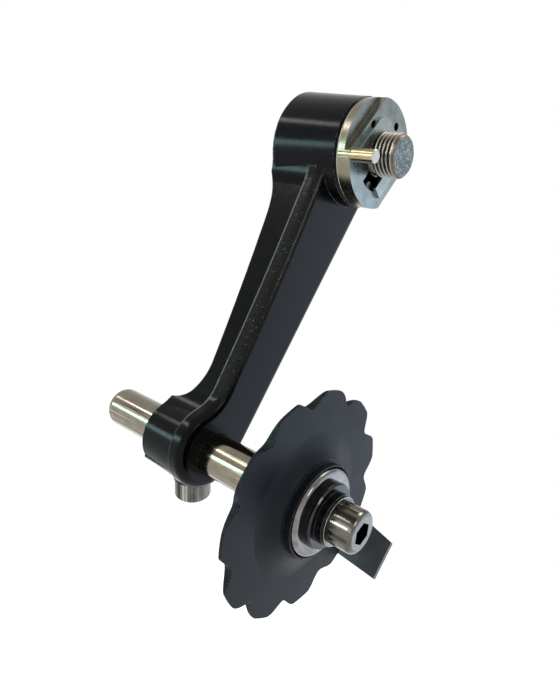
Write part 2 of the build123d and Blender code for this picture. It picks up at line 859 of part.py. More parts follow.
with BuildPart() as bearing_balls:
    with Locations(pulley_plane(bearing_centre)):
        with PolarLocations(ball_circle, ball_count):
            Sphere(ball_radius)
bearing_balls.part.label = "bearing_balls"
export_step(bearing_balls.part, "parts/bearing_balls.step")

with BuildPart() as ball_cage:
    with BuildSketch(pulley_plane(bearing_centre + cage_half_width)):
        Circle(ball_circle + cage_wall / 2)
        Circle(ball_circle - cage_wall / 2, mode=Mode.SUBTRACT)
    extrude(amount=2 * cage_half_width)
    with Locations(pulley_plane(bearing_centre)):
        with PolarLocations(ball_circle, ball_count):
            Cylinder(ball_radius + running_gap, 2 * cage_wall, rotation=(0, 90, 0), mode=Mode.SUBTRACT)
ball_cage.part.label = "ball_cage"
export_step(ball_cage.part, "parts/ball_cage.step")

with BuildPart() as bearing_shields:
    shield_outer = bearing_outer_race_inner_radius - ball_track_depth - seat_gap
    shield_inner = bearing_inner_race_outer_radius + ball_track_depth + running_gap
    for shield_level in (race_start + 2 * shield_thickness, race_end - shield_thickness):
        with BuildSketch(pulley_plane(shield_level)):
            Circle(shield_outer)
            Circle(shield_inner, mode=Mode.SUBTRACT)
        extrude(amount=shield_thickness)
bearing_shields.part.label = "bearing_shields"
export_step(bearing_shields.part, "parts/bearing_shields.step")


# Cover washers on both sides of the hub: each has a raised middle that clamps the inner race
def cover_washer(seat_level, outward):
    """A cover whose middle starts at the race and whose disc lies in the recess of the hub."""
    disc_level = seat_level + outward * cover_stand_off
    outer_level = disc_level + outward * cover_thickness
    with BuildPart() as cover:
        with BuildSketch(pulley_profile):
            with BuildLine():
                Polyline(
                    (bearing_bore_radius, seat_level),
                    (cover_middle_radius, seat_level),
                    (cover_middle_radius, disc_level),
                    (cover_radius, disc_level),
                    (cover_radius, outer_level - outward * cover_edge_radius),
                )
                RadiusArc(
                    (cover_radius, outer_level - outward * cover_edge_radius),
                    (cover_radius - cover_edge_radius, outer_level),
                    -outward * cover_edge_radius,
                )
                Polyline(
                    (cover_radius - cover_edge_radius, outer_level),
                    (bearing_bore_radius, outer_level),
                    (bearing_bore_radius, seat_level),
                )
            make_face()
        revolve(axis=pulley_axis)
    return cover


inboard_cover_washer = cover_washer(race_start, -1)
inboard_cover_washer.part.label = "inboard_cover_washer"
export_step(inboard_cover_washer.part, "parts/inboard_cover_washer.step")

outboard_cover_washer = cover_washer(race_end, 1)
outboard_cover_washer.part.label = "outboard_cover_washer"
export_step(outboard_cover_washer.part, "parts/outboard_cover_washer.step")


# Stepped spacer, thin washer and bolt in front of the wheel
spacer_back = race_start - cover_stand_off - cover_thickness
with BuildPart() as pulley_spacer:
    with BuildSketch(pulley_profile):
        with BuildLine():
            Polyline(
                (bearing_bore_radius, spacer_back),
                (spacer_radius, spacer_back),
                (spacer_radius, spacer_back - spacer_collar_height + spacer_chamfer),
                (spacer_radius - spacer_chamfer, spacer_back - spacer_collar_height),
                (spacer_step_radius, spacer_back - spacer_collar_height),
                (spacer_step_radius, spacer_back - spacer_height),
                (bearing_bore_radius, spacer_back - spacer_height),
                close=True,
            )
        make_face()
    revolve(axis=pulley_axis)
pulley_spacer.part.label = "pulley_spacer"
export_step(pulley_spacer.part, "parts/pulley_spacer.step")

washer_back = spacer_back - spacer_height
pulley_bolt_washer = ring(
    bearing_bore_radius,
    bolt_washer_radius,
    washer_back - bolt_washer_thickness,
    washer_back,
    on_pulley=True,
)
pulley_bolt_washer.part.label = "pulley_bolt_washer"
export_step(pulley_bolt_washer.part, "parts/pulley_bolt_washer.step")

pulley_bolt = cap_screw(pulley_plane(washer_back - bolt_washer_thickness), pulley_bolt_length)
pulley_bolt.part.label = "pulley_bolt"
export_step(pulley_bolt.part, "parts/pulley_bolt.step")
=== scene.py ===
import json
import math

import bpy
from mathutils import Matrix, Vector

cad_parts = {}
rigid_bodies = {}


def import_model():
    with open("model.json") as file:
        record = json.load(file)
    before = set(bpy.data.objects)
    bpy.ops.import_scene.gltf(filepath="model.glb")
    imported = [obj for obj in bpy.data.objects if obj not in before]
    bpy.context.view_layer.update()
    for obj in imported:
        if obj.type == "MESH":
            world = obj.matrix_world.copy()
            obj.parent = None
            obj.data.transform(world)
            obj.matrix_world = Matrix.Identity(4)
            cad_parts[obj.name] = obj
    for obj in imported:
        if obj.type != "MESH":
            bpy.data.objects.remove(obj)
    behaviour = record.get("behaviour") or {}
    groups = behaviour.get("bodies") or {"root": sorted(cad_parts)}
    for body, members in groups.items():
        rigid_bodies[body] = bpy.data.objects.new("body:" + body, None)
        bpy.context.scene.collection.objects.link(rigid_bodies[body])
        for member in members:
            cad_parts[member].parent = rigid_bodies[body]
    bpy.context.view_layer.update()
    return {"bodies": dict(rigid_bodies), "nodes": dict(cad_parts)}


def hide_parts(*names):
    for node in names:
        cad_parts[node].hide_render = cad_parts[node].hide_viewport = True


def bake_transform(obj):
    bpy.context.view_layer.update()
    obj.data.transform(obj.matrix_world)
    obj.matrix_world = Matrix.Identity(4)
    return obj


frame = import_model()
nodes = frame["nodes"]

# One millimetre in metres
MM = 0.001

# Sizes in millimetres that this script shares with the solids
FACE_LEVEL = 0.9  # inboard face of the stop plate along Y
RIDGE_LEVEL = FACE_LEVEL + 10.9  # ridge of the arm's flange along Y
PULLEY_AXIS_Z = -77.4
CLAMP_ANGLE = -54.5  # clamp screw's axis in the XZ plane, in degrees

# Thread on the pivot bolt, with lengths in millimetres
THREAD_CREST_RADIUS = 5.0
THREAD_DEPTH = 0.61
THREAD_PITCH = 1.0
THREAD_START = -0.02  # just clear of the clip, along Y
THREAD_END = -5.35  # last full crest before the bolt's end chamfer, along Y
THREAD_SLOPE = 1.22  # steepness of the flanks, which leaves flat crests
THREAD_ROOT_FLAT = 0.1  # how much the flanks are lowered, which leaves flat roots

# Body that the thread is cut with, with lengths in millimetres
ENVELOPE_CLEARANCE = 0.03  # its crests lie this far outside the bolt's
ENVELOPE_BOTTOM = THREAD_END - 1.2  # past the bolt's end
ENVELOPE_TOP = 30.0  # past the bolt's head
ENVELOPE_RADIUS = 20.0  # wide enough to hold the rest of the bolt
ENVELOPE_SHOULDER = 0.001  # height over which it widens
ENVELOPE_ROWS = 67  # steps along the thread
RING_POINTS = 72

# Where marks in a paint start and where they are full, in millimetres
MARKS_TOP = (-9.0, -12.0)  # along Z, under the arm's pivot boss
# The ridge's light line is worn paint and also a painted highlight along the edge.
RIDGE_WEAR_AND_GLINT_FOOT = (-76.0, -70.0)  # along Z
RIDGE_WEAR_AND_GLINT_REACH = (0.55, 0.1)  # distance from the ridge
# The inboard wall takes a dust film and light specks, which are grit and also painted glints.
WALL_DUST_AND_GLINT_FOOT = (-70.0, -62.0)  # along Z
WALL_DUST_AND_GLINT_EDGE = (RIDGE_LEVEL - 0.2, RIDGE_LEVEL - 0.8)  # along Y
ROOT_DARK_RADIUS = (THREAD_CREST_RADIUS - 0.04, THREAD_CREST_RADIUS - 0.26)
ROOT_DARK_TOP = (THREAD_START + 0.1, THREAD_START)  # along Y
END_FACE = (THREAD_END + 0.12, THREAD_END + 0.04)  # along Y

# Camera, matched to the photograph
CAMERA_PLACE = Vector((-0.10397, -0.07559, -0.06707))
CAMERA_VIEW = Vector((0.7888, 0.6018, 0.1249))
CAMERA_UP = Vector((-0.3447, 0.2648, 0.9006))
CAMERA_LENS = 30.57
CAMERA_SENSOR = 36.0
CAMERA_CLIP = 0.005

# Studio, with lengths in metres
WHITE = (1.0, 1.0, 1.0, 1.0)
FLOOR_SIZE = 12.0
FLOOR_LEVEL = -0.16
FLOOR_TONE = (0.88, 0.88, 0.88, 1.0)
FLOOR_LIFT = 0.85  # glow of the floor where the camera or a reflection sees it
LAMP_TARGET = Vector((0.0, 0.0, -0.04))  # middle of the object
TEAL = (0.58, 1.0, 0.94)
WARM = (1.0, 0.95, 0.88)
WARM_WHITE = (1.0, 0.98, 0.95)
SKY_BLUE = (0.58, 0.76, 1.0)

# Light that the world sends to matt surfaces, from straight below at 0 to straight above at 1
WORLD_TONES = {
    0.0: (0.05, 0.05, 0.055),
    0.5: (0.07, 0.075, 0.08),
    0.72: (0.18, 0.19, 0.20),
    1.0: (0.30, 0.31, 0.32),
}


class Paint:
    """Builds one node material step by step. Lengths in its texture space are millimetres."""

    def __init__(self, name):
        self.material = bpy.data.materials.new(name)
        self.material.use_nodes = True
        self.nodes = self.material.node_tree.nodes
        self.links = self.material.node_tree.links
        self.shader = self.nodes["Principled BSDF"]
        place = self.nodes.new("ShaderNodeTexCoord")
        self.place = self.scaled(place.outputs["Object"], 1 / MM)

    def set(self, **values):
        """Plain values on the shader's own sockets."""
        for name, value in values.items():
            self.shader.inputs[name.replace("_", " ")].default_value = value

    def feed(self, socket, output):
        """Links an output to one of the shader's sockets."""
        self.links.new(output, self.shader.inputs[socket])

    def base(self):
        """The base colour that the shader has so far."""
        return self.shader.inputs["Base Color"].links[0].from_socket

    def put(self, socket, value):
        """Links an output to a socket, or sets the socket to a plain value."""
        if isinstance(value, bpy.types.NodeSocket):
            self.links.new(value, socket)
        elif socket.type == "RGBA":
            socket.default_value = (*value, 1.0)
        else:
            socket.default_value = value

    def math(self, operation, first, second=None, clamp=False):
        """A sum, product or other operation on numbers or outputs."""
        step = self.nodes.new("ShaderNodeMath")
        step.operation = operation
        step.use_clamp = clamp
        self.put(step.inputs[0], first)
        if second is not None:
            self.put(step.inputs[1], second)
        return step.outputs[0]

    def product(self, first, *others):
        """Masks multiplied with each other, where all of them hold."""
        for other in others:
            first = self.math("MULTIPLY", first, other)
        return first

    def scaled(self, vector, factor):
        """A vector multiplied by a number."""
        scale = self.nodes.new("ShaderNodeVectorMath")
        scale.operation = "SCALE"
        scale.inputs["Scale"].default_value = factor
        self.links.new(vector, scale.inputs[0])
        return scale.outputs[0]

    def dot(self, first, second):
        """The dot product of two vectors or vector outputs."""
        dot = self.nodes.new("ShaderNodeVectorMath")
        dot.operation = "DOT_PRODUCT"
        self.put(dot.inputs[0], first)
        self.put(dot.inputs[1], second)
        return dot.outputs["Value"]

    def noise(self, size, detail, stretch=(1, 1, 1), roughness=0.55, distortion=0.0):
        """Noise whose features are about size millimetres wide, stretched along the axes."""
        mapping = self.nodes.new("ShaderNodeVectorMath")
        mapping.operation = "DIVIDE"
        self.links.new(self.place, mapping.inputs[0])
        mapping.inputs[1].default_value = tuple(size * s for s in stretch)
        noise = self.nodes.new("ShaderNodeTexNoise")
        noise.inputs["Scale"].default_value = 1.0
        noise.inputs["Detail"].default_value = detail
        noise.inputs["Roughness"].default_value = roughness
        noise.inputs["Distortion"].default_value = distortion
        self.links.new(mapping.outputs[0], noise.inputs["Vector"])
        return noise.outputs["Fac"]

    def specks(self, spacing, radius):
        """Round specks: 1 inside a speck, 0 outside. Both lengths in millimetres."""
        cells = self.nodes.new("ShaderNodeTexVoronoi")
        cells.inputs["Scale"].default_value = 1.0
        self.links.new(self.scaled(self.place, 1 / spacing), cells.inputs["Vector"])
        return self.step(cells.outputs["Distance"], radius / spacing, 0.4 * radius / spacing)

    def step(self, value, low, high):
        """Goes smoothly from 0 at low to 1 at high, also where high is below low."""
        ramp = self.nodes.new("ShaderNodeMapRange")
        ramp.interpolation_type = "SMOOTHSTEP"
        ramp.inputs["From Min"].default_value = low
        ramp.inputs["From Max"].default_value = high
        self.links.new(value, ramp.inputs["Value"])
        return ramp.outputs["Result"]

    def spread(self, value, low, high):
        """Maps 0.3..0.7, the usual range of noise, to low..high."""
        ramp = self.nodes.new("ShaderNodeMapRange")
        ramp.inputs["From Min"].default_value = 0.3
        ramp.inputs["From Max"].default_value = 0.7
        ramp.inputs["To Min"].default_value = low
        ramp.inputs["To Max"].default_value = high
        self.links.new(value, ramp.inputs["Value"])
        return ramp.outputs["Result"]

    def mix(self, factor, first, second):
        """A colour between two colours or colour outputs."""
        blend = self.nodes.new("ShaderNodeMix")
        blend.data_type = "RGBA"
        for slot, value in ((0, factor), (6, first), (7, second)):
            self.put(blend.inputs[slot], value)
        return blend.outputs[2]

    def blend(self, factor, first, second):
        """A number between two numbers or outputs."""
        blend = self.nodes.new("ShaderNodeMix")
        blend.data_type = "FLOAT"
        for slot, value in ((0, factor), (2, first), (3, second)):
            self.put(blend.inputs[slot], value)
        return blend.outputs[0]

    def clouds(self, noise, first, second):
        """Two colours that noise goes between."""
        return self.mix(self.spread(noise, 0.0, 1.0), first, second)

    def cover(self, colour, mask, strength, tone):
        """A colour with a tone laid over it where the mask is 1, as strongly as given."""
        return self.mix(self.product(mask, strength), colour, tone)

    def along(self):
        """The X, Y and Z of the shaded point, in millimetres."""
        split = self.nodes.new("ShaderNodeSeparateXYZ")
        self.links.new(self.place, split.inputs[0])
        return split.outputs

    def facing(self):
        """The X, Y and Z of the surface's direction."""
        place = self.nodes.new("ShaderNodeTexCoord")
        split = self.nodes.new("ShaderNodeSeparateXYZ")
        self.links.new(place.outputs["Normal"], split.inputs[0])
        return split.outputs

    def wall(self):
        """1 on the walls of a body that runs along Y, 0 on its end faces."""
        _, facing_y, _ = self.facing()
        return self.step(self.math("ABSOLUTE", facing_y), 0.75, 0.35)

    def from_axis(self, axis_z=0.0):
        """Distance of the shaded point from an axis that runs along Y."""
        x, _, z = self.along()
        z = self.math("SUBTRACT", z, axis_z)
        return self.math("SQRT", self.math("ADD", self.product(x, x), self.product(z, z)))

    def rings(self, radius, density):
        """Rings around an axis, as waves of the distance to it."""
        return self.math("SINE", self.math("MULTIPLY", radius, density))

    def rounded(self, radius):
        """A surface direction that rounds the edges by a radius in millimetres."""
        bevel = self.nodes.new("ShaderNodeBevel")
        bevel.samples = 6
        bevel.inputs["Radius"].default_value = radius * MM
        return bevel.outputs["Normal"]

    def edges(self, radius):
        """1 on edges, 0 on flat and gently curved surfaces."""
        surface = self.nodes.new("ShaderNodeNewGeometry")
        return self.step(self.dot(self.rounded(radius), surface.outputs["Normal"]), 0.995, 0.93)

    def relief(self, height, distance, edge_radius, strength):
        """Bump from a height that counts as distance millimetres, over rounded edges."""
        bump = self.nodes.new("ShaderNodeBump")
        bump.inputs["Strength"].default_value = strength
        bump.inputs["Distance"].default_value = distance * MM
        self.links.new(height, bump.inputs["Height"])
        self.links.new(self.rounded(edge_radius), bump.inputs["Normal"])
        self.links.new(bump.outputs["Normal"], self.shader.inputs["Normal"])


def ridge_and_wall(paint, fine):
    """Two masks on the left side of the arm's flange, below the pivot boss: the ridge, whose
    light line is worn paint and also a painted highlight, and the wall inboard of it."""
    _, y, z = paint.along()
    facing_x, _, _ = paint.facing()
    left_side = paint.step(facing_x, -0.15, -0.45)
    below_boss = paint.step(z, *MARKS_TOP)
    off_ridge = paint.math("ABSOLUTE", paint.math("SUBTRACT", y, RIDGE_LEVEL))
    # Light line on the ridge: worn paint, and also a painted highlight.
    ridge_wear_and_glint = paint.product(
        paint.step(off_ridge, *RIDGE_WEAR_AND_GLINT_REACH),
        left_side,
        paint.step(fine, 0.26, 0.44),
        below_boss,
        paint.step(z, *RIDGE_WEAR_AND_GLINT_FOOT),
    )
    wall = paint.product(
        paint.step(y, *WALL_DUST_AND_GLINT_EDGE),
        left_side,
        below_boss,
        paint.step(z, *WALL_DUST_AND_GLINT_FOOT),
    )
    return ridge_wear_and_glint, wall


def gloss_black():
    """Gloss black coating of the arm: soft waves, dust, and wear on its edges. The edge wear,
    the ridge, the specks on the flange's wall and the light streaks on upward faces are also
    painted highlights.
    """
    paint = Paint("gloss_black_coating")
    paint.set(Metallic=0.0, Specular_IOR_Level=0.09)
    broad = paint.noise(14.0, 3.0)
    fine = paint.noise(0.9, 5.0)
    streak = paint.noise(1.2, 4.0, stretch=(1.0, 9.0, 1.0))
    film = paint.spread(paint.noise(0.5, 6.0, roughness=0.8), 0.0, 0.07)
    _, _, facing_z = paint.facing()
    # Light streaks on upward faces: dust, and also a painted highlight.
    top = paint.product(paint.step(facing_z, 0.8, 0.97), paint.step(streak, 0.5, 0.68))
    dust = paint.product(paint.specks(1.3, 0.09), paint.step(broad, 0.42, 0.62))
    ridge_wear_and_glint, inboard_wall = ridge_and_wall(paint, fine)
    # Light specks on the flange's inboard wall: grit, and also painted glints along its rounded
    # edge.
    grit = paint.product(inboard_wall, paint.specks(0.9, 0.12))
    # Edge wear, raised so that it also stands for painted highlights along the edges. It takes in
    # the ridge's wear and painted highlight.
    wear = paint.product(paint.edges(0.35), paint.step(fine, 0.42, 0.6))
    wear = paint.math("MAXIMUM", wear, ridge_wear_and_glint)

    colour = paint.clouds(broad, (0.0015, 0.0018, 0.0026), (0.003, 0.0034, 0.0048))
    colour = paint.cover(colour, top, 0.05, (0.45, 0.45, 0.46))
    colour = paint.cover(colour, dust, 0.6, (0.42, 0.42, 0.44))
    colour = paint.cover(colour, inboard_wall, film, (0.46, 0.43, 0.38))
    colour = paint.cover(colour, grit, 0.75, (0.55, 0.53, 0.50))
    colour = paint.cover(colour, wear, 0.55, (0.37, 0.365, 0.36))
    paint.feed("Base Color", colour)

    rough = paint.math("ADD", paint.spread(fine, 0.13, 0.2), paint.product(top, 0.2))
    rough = paint.math("ADD", rough, paint.product(wear, 0.15), clamp=True)
    paint.feed("Roughness", rough)
    paint.relief(paint.blend(0.35, broad, fine), 0.05, edge_radius=0.3, strength=0.35)
    return paint


def plated(
    name,
    colour,
    second,
    roughness,
    variation=0.08,
    edge_radius=0.12,
    grain=(1, 1, 1),
    wear=0.4,
    edge_tone=None,
):
    """A plated metal: clouds of two tones, fine marks and brighter edges: wear, which some
    callers raise so that it also stands for a painted highlight. The edges are a brighter
    shade of the colour unless an edge tone is given."""
    paint = Paint(name)
    paint.set(Metallic=1.0)
    cloud = paint.noise(3.5, 4.0)
    fine = paint.noise(0.35, 5.0, stretch=grain)
    marks = paint.noise(0.8, 5.0, stretch=grain, distortion=0.4)
    bright = edge_tone or tuple(min(1.0, c * 1.25 + 0.04) for c in colour)
    base = paint.clouds(cloud, colour, second)
    paint.feed("Base Color", paint.cover(base, paint.edges(edge_radius * 2), wear, bright))
    paint.feed("Roughness", paint.spread(marks, roughness - variation / 2, roughness + variation))
    paint.relief(fine, 0.012, edge_radius=edge_radius, strength=0.5)
    return paint


def threaded_bolt():
    """Nickel pivot bolt: bright crests, dark brown in the thread's roots and a matt end face."""
    paint = Paint("bolt_nickel")
    paint.set(Metallic=1.0)
    cloud = paint.noise(2.0, 4.0)
    fine = paint.noise(0.25, 5.0)
    grit = paint.step(paint.noise(0.55, 5.0), 0.47, 0.64)
    radius = paint.from_axis()
    _, y, _ = paint.along()
    _, facing_y, _ = paint.facing()
    end = paint.product(paint.step(facing_y, -0.6, -0.9), paint.step(y, *END_FACE))
    # Dark brown towards the roots of the thread.
    root = paint.product(
        paint.step(radius, *ROOT_DARK_RADIUS),
        paint.step(y, *ROOT_DARK_TOP),
        paint.math("SUBTRACT", 1.0, end),
        paint.spread(cloud, 0.6, 1.0),
    )
    nickel = paint.clouds(cloud, (0.21, 0.205, 0.185), (0.34, 0.335, 0.305))
    matt = paint.mix(grit, (0.105, 0.135, 0.14), (0.29, 0.315, 0.30))
    colour = paint.mix(root, nickel, (0.075, 0.05, 0.03))
    paint.feed("Base Color", paint.mix(end, colour, matt))
    rough = paint.blend(end, paint.spread(fine, 0.2, 0.34), paint.spread(fine, 0.38, 0.55))
    paint.feed("Roughness", rough)
    turned = paint.product(paint.rings(radius, 18.0), end, 0.25)
    paint.relief(paint.math("ADD", turned, fine), 0.02, edge_radius=0.06, strength=0.5)
    return paint


def zinc_plate():
    """Satin zinc faces with a brassy rim, which is a painted warm reflection."""
    paint = plated("plate_zinc", (0.16, 0.172, 0.176), (0.25, 0.305, 0.30), 0.26, wear=0.5)
    _, facing_y, _ = paint.facing()
    # The rim's brassy tint is a painted warm reflection.
    rim_reflection = paint.step(paint.math("ABSOLUTE", facing_y), 0.6, 0.3)
    paint.feed("Base Color", paint.cover(paint.base(), rim_reflection, 0.8, (0.19, 0.155, 0.10)))
    return paint


def brass_pin():
    """Brass pin with a bare silvery end."""
    paint = plated("pin_brass", (0.26, 0.20, 0.11), (0.36, 0.29, 0.17), 0.2, edge_radius=0.08)
    _, facing_y, _ = paint.facing()
    end = paint.step(facing_y, -0.5, -0.85)
    paint.feed("Base Color", paint.mix(end, paint.base(), (0.50, 0.50, 0.48)))
    return paint


def striped(paint, dark_mask, dark_tone, light_mask, light_tone):
    """The base colour so far, with dark and light bands over it: painted reflections, and on the
    shaft also polishing streaks.
    """
    dark = paint.mix(dark_mask, paint.base(), dark_tone)
    return paint.mix(light_mask, dark, light_tone)


def drawn_shaft():
    """Nickel-plated shaft with straight streaks along its length: polishing streaks, and also
    painted dark and light reflections.
    """
    paint = plated(
        "shaft_nickel", (0.155, 0.138, 0.104), (0.215, 0.193, 0.15), 0.12, grain=(1, 6, 1)
    )
    broad = paint.noise(1.5, 3.0, stretch=(1.0, 60.0, 1.0))
    thin = paint.noise(0.55, 3.0, stretch=(1.0, 90.0, 1.0))
    # Dark and light streaks along the wall: polishing streaks, and also painted reflections.
    streaks_and_reflections = striped(
        paint,
        paint.step(broad, 0.46, 0.38),
        (0.085, 0.070, 0.046),
        paint.step(thin, 0.56, 0.66),
        (0.48, 0.455, 0.36),
    )
    paint.feed("Base Color", paint.mix(paint.wall(), paint.base(), streaks_and_reflections))
    return paint


def polished_screw():
    """Chromed screw along Y whose head has soft dark and light bands on its wall: painted
    reflections.
    """
    paint = plated("pulley_bolt_chrome", (0.085, 0.080, 0.070), (0.13, 0.122, 0.106), 0.1)
    stripe = paint.noise(2.6, 2.0, stretch=(1.0, 12.0, 1.0))
    # Dark and light bands on the head's wall: painted reflections.
    reflection_stripes = striped(
        paint,
        paint.step(stripe, 0.5, 0.42),
        (0.026, 0.025, 0.024),
        paint.step(stripe, 0.56, 0.63),
        (0.30, 0.275, 0.225),
    )
    paint.feed("Base Color", paint.mix(paint.wall(), paint.base(), reflection_stripes))
    return paint


def rubbed_and_glinting_chrome(name, colour, second):
    """Dark chrome with bright warm edges, of the clamp screw and the pulley bolt's washer: rubbed
    wear, and also a painted highlight.
    """
    return plated(name, colour, second, 0.1, wear=0.8, edge_tone=(0.42, 0.40, 0.35))


def leave_out_axis(paint, angle):
    """Makes later patterns run straight along an axis at an angle in the XZ plane."""
    across = paint.dot(paint.place, (-math.sin(angle), 0.0, math.cos(angle)))
    _, y, _ = paint.along()
    flat = paint.nodes.new("ShaderNodeCombineXYZ")
    paint.links.new(across, flat.inputs["X"])
    paint.links.new(y, flat.inputs["Y"])
    paint.place = flat.outputs[0]


def tilted_screw():
    """The clamp screw's chrome, with painted dark and light reflections in bands along the
    screw's own tilted axis.
    """
    paint = rubbed_and_glinting_chrome("screw_chrome", (0.07, 0.066, 0.060), (0.15, 0.140, 0.122))
    leave_out_axis(paint, math.radians(CLAMP_ANGLE))
    stripe = paint.noise(2.4, 2.0)
    # Dark and light bands along the screw: painted reflections.
    reflection_stripes = striped(
        paint,
        paint.step(stripe, 0.5, 0.43),
        (0.022, 0.021, 0.020),
        paint.step(stripe, 0.55, 0.62),
        (0.33, 0.32, 0.285),
    )
    paint.feed("Base Color", reflection_stripes)
    return paint


def cover_chrome():
    """Chrome of the pulley's cover washers, with bright edges: rubbed wear, and also a painted
    highlight.
    """
    return plated(
        "cover_chrome",
        (0.09, 0.086, 0.085),
        (0.24, 0.224, 0.214),
        0.09,
        variation=0.05,
        wear=0.85,
        edge_tone=(0.55, 0.52, 0.49),
    )


def satin_black_wheel():
    """Satin black wheel with fine turning marks and slightly rubbed tooth edges."""
    paint = Paint("wheel_black")
    paint.set(Metallic=0.0, Specular_IOR_Level=0.10)
    cloud = paint.noise(6.0, 4.0)
    fine = paint.noise(0.3, 5.0)
    radius = paint.from_axis(PULLEY_AXIS_Z)
    wear = paint.product(paint.edges(0.3), paint.step(fine, 0.42, 0.62))
    black = paint.clouds(cloud, (0.006, 0.0085, 0.0125), (0.0105, 0.0135, 0.0185))
    paint.feed("Base Color", paint.cover(black, wear, 0.35, (0.22, 0.24, 0.25)))
    paint.feed("Roughness", paint.spread(cloud, 0.36, 0.46))
    turned = paint.product(paint.rings(radius, 9.0), 0.2)
    paint.relief(paint.math("ADD", turned, fine), 0.012, edge_radius=0.25, strength=0.4)
    return paint


def satin_guard():
    """Dark grey coating with metal showing at the cut edges."""
    paint = Paint("guard_dark")
    paint.set(Metallic=0.05, Specular_IOR_Level=0.3)
    cloud = paint.noise(4.0, 4.0)
    fine = paint.noise(0.4, 5.0)
    wear = paint.product(paint.edges(0.3), paint.step(fine, 0.34, 0.52))
    grey = paint.clouds(cloud, (0.090, 0.0925, 0.100), (0.112, 0.116, 0.125))
    paint.feed("Base Color", paint.cover(grey, wear, 0.6, (0.42, 0.43, 0.42)))
    paint.feed("Roughness", paint.spread(cloud, 0.34, 0.46))
    paint.relief(fine, 0.02, edge_radius=0.15, strength=0.4)
    return paint


def plain_plastic(name, colour, second):
    """Moulded plastic of the bushes, the sleeve, the dust washer and the ball cage."""
    paint = Paint(name)
    fine = paint.noise(0.4, 4.0)
    paint.feed("Base Color", paint.clouds(fine, colour, second))
    paint.feed("Roughness", paint.spread(fine, 0.5, 0.65))
    paint.relief(fine, 0.02, edge_radius=0.1, strength=0.3)
    return paint


def dress(names, paint):
    """Gives a paint's material to CAD nodes."""
    for name in names:
        piece = nodes[name]
        piece.data.materials.clear()
        piece.data.materials.append(paint.material)


def thread_radius(level, turn):
    """Radius of the thread at a level along Y, a share of a turn around it."""
    phase = (level / THREAD_PITCH + turn) % 1.0
    flank = min(1.0, max(0.0, abs(2 * phase - 1) * THREAD_SLOPE - THREAD_ROOT_FLAT))
    crest = THREAD_CREST_RADIUS + ENVELOPE_CLEARANCE
    return crest - (THREAD_DEPTH + ENVELOPE_CLEARANCE) * (1 - flank)


def ring(level, radii):
    """Points in metres around the Y axis at a level in millimetres, one for each radius."""
    points = []
    for step, radius in enumerate(radii):
        angle = step / len(radii) * math.tau
        points.append((radius * math.cos(angle) * MM, level * MM, radius * math.sin(angle) * MM))
    return points


def stacked(rings):
    """Faces of a closed body whose wall joins each ring to the next."""
    faces = []
    last = (len(rings) - 1) * RING_POINTS
    for low in range(0, last, RING_POINTS):
        high = low + RING_POINTS
        for step in range(RING_POINTS):
            after = (step + 1) % RING_POINTS
            faces.append((low + step, high + step, high + after, low + after))
    faces.append(tuple(range(RING_POINTS)))
    faces.append(tuple(last + step for step in reversed(range(RING_POINTS))))
    return faces


def thread_envelope():
    """A closed body whose wall follows the thread over the bolt's end and lies clear of
    everything else. The bolt keeps what is inside it."""
    turns = [step / RING_POINTS for step in range(RING_POINTS)]
    rings = []
    for row in range(ENVELOPE_ROWS + 1):
        level = ENVELOPE_BOTTOM + row * (THREAD_START - ENVELOPE_BOTTOM) / ENVELOPE_ROWS
        rings.append(ring(level, [thread_radius(level, turn) for turn in turns]))
    for level in (THREAD_START + ENVELOPE_SHOULDER, ENVELOPE_TOP):
        rings.append(ring(level, [ENVELOPE_RADIUS] * RING_POINTS))
    points = [point for row in rings for point in row]
    mesh = bpy.data.meshes.new("thread_envelope")
    mesh.from_pydata(points, [], stacked(rings))
    mesh.update()
    body = bpy.data.objects.new("thread_envelope", mesh)
    bpy.context.scene.collection.objects.link(body)
    body.hide_render = True
    body.display_type = "WIRE"
    return body


def cut_thread():
    """Leaves the thread on the inboard end of the pivot bolt."""
    cut = nodes["pivot_bolt"].modifiers.new("thread", "BOOLEAN")
    cut.operation = "INTERSECT"
    cut.solver = "EXACT"
    cut.object = thread_envelope()
    cut.object.parent = frame["bodies"]["hanger_side"]


def winding_spring():
    """A copy of the spring, baked in place, that is shown instead of the CAD spring. On the real
    part the spring winds up as the arm turns: one leg stays in the stop plate, the other goes
    with the arm. The CAD spring is rigid."""
    node = nodes["torsion_spring"]
    spring = bpy.data.objects.new("winding_spring", node.data.copy())
    bpy.context.scene.collection.objects.link(spring)
    spring.matrix_world = node.matrix_world
    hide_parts("torsion_spring")
    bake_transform(spring)


def seen_directly(tree):
    """1 for rays from the camera, and for rays that metal or glass sends on."""
    rays = tree.nodes.new("ShaderNodeLightPath")
    seen = rays.outputs["Is Camera Ray"]
    for kind in ("Is Glossy Ray", "Is Transmission Ray"):
        either = tree.nodes.new("ShaderNodeMath")
        either.operation = "MAXIMUM"
        tree.links.new(seen, either.inputs[0])
        tree.links.new(rays.outputs[kind], either.inputs[1])
        seen = either.outputs[0]
    return seen


def pale_floor():
    """A matt floor that looks white where it is seen, also in reflections."""
    bpy.ops.mesh.primitive_plane_add(size=FLOOR_SIZE, location=(0, 0, FLOOR_LEVEL))
    floor = bpy.context.object
    floor.name = "floor"
    material = bpy.data.materials.new("pale_floor")
    material.use_nodes = True
    tree = material.node_tree
    shader = tree.nodes["Principled BSDF"]
    shader.inputs["Base Color"].default_value = FLOOR_TONE
    shader.inputs["Roughness"].default_value = 0.9
    shader.inputs["Emission Color"].default_value = WHITE
    lift = tree.nodes.new("ShaderNodeMath")
    lift.operation = "MULTIPLY"
    lift.inputs[1].default_value = FLOOR_LIFT
    tree.links.new(seen_directly(tree), lift.inputs[0])
    tree.links.new(lift.outputs[0], shader.inputs["Emission Strength"])
    floor.data.materials.append(material)


